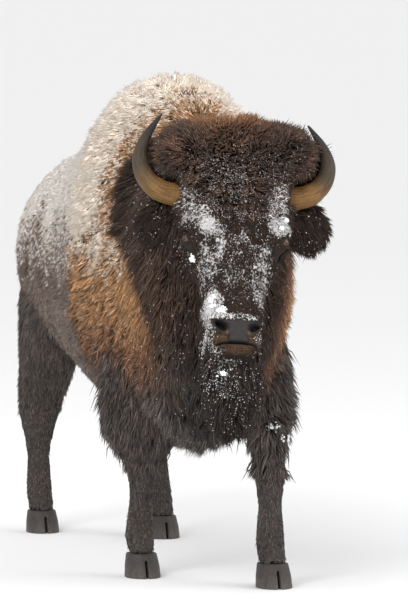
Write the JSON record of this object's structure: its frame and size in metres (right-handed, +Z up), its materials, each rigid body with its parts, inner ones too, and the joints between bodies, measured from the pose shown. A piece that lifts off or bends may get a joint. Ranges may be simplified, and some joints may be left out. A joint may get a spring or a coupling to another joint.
{
  "type": "bison",
  "caption": "Life-size still model of a bull bison in a shaggy winter coat, walking, with a high shoulder hump, a low horned head and short curved horns.",
  "frame": {"origin": "middle of the base of the whole animal's box, on the floor it stands on", "axes": "+Z up, the animal faces -Y, its own left side is +X"},
  "size_m": [0.7726, 2.8598, 1.798],
  "materials": {
    "dark_coat": "matte, dark brown curled hair of the head, throat and forelegs",
    "cape_coat": "matte, golden brown woolly hair of the shoulders and hump, dusted with snow",
    "flank_coat": "matte, short grey-brown hair of the flanks and hindquarters, dusted with snow",
    "horn": "satin, ochre at the base and dark grey-brown at the tip",
    "hoof": "satin, dark grey-brown",
    "eye": "wet gloss, dark brown"
  },
  "bodies": {
    "root": {"head": "dark_coat", "crown": "dark_coat", "beard": "dark_coat", "ear_left": "dark_coat", "ear_right": "dark_coat", "eye_left": "eye", "eye_right": "eye", "horn_left": "horn", "horn_right": "horn", "neck": "dark_coat", "chest": "cape_coat", "barrel": "flank_coat", "hindquarters": "flank_coat", "tail": "flank_coat", "foreleg_left_upper": "dark_coat", "foreleg_left_lower": "dark_coat", "foreleg_right_upper": "dark_coat", "foreleg_right_lower": "dark_coat", "hindleg_left_upper": "flank_coat", "hindleg_left_lower": "flank_coat", "hindleg_right_upper": "flank_coat", "hindleg_right_lower": "flank_coat", "forehoof_left": "hoof", "forehoof_right": "hoof", "hindhoof_left": "hoof", "hindhoof_right": "hoof", "foredewclaw_left_inner": "hoof", "foredewclaw_left_outer": "hoof", "foredewclaw_right_inner": "hoof", "foredewclaw_right_outer": "hoof", "hinddewclaw_left_inner": "hoof", "hinddewclaw_left_outer": "hoof", "hinddewclaw_right_inner": "hoof", "hinddewclaw_right_outer": "hoof"}
  },
  "joints": []
}
